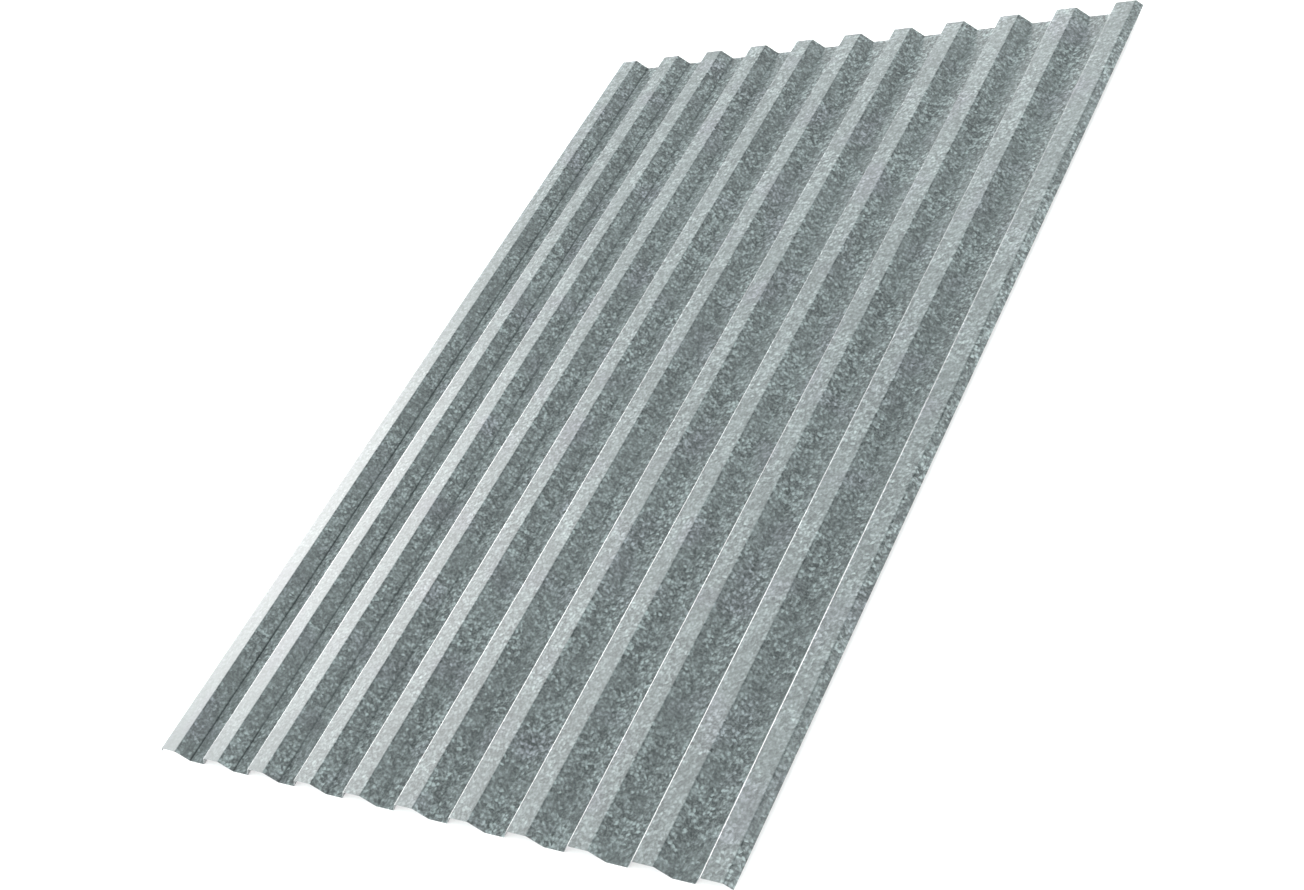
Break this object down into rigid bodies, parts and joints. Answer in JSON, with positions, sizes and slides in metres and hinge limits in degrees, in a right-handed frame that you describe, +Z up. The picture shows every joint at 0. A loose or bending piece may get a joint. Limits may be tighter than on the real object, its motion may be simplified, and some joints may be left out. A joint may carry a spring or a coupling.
{
  "type": "corrugated metal sheet",
  "caption": "Trapezoidal profiled roofing and cladding sheet in galvanized steel, with flat-topped parallel ribs, flat valleys and a half web along each long edge.",
  "frame": {"origin": "centre of the sheet's footprint, at the underside of the valleys that it lies on", "axes": "+Z up, out of the weather face; Y along the ribs; X across the ribs"},
  "size_m": [1.0514, 1.6, 0.021],
  "materials": {
    "galvanized_steel": "hot-dip galvanized, dull, with a fine mottled spangle"
  },
  "bodies": {
    "root": {"corrugated_sheet": "galvanized_steel"}
  },
  "joints": []
}
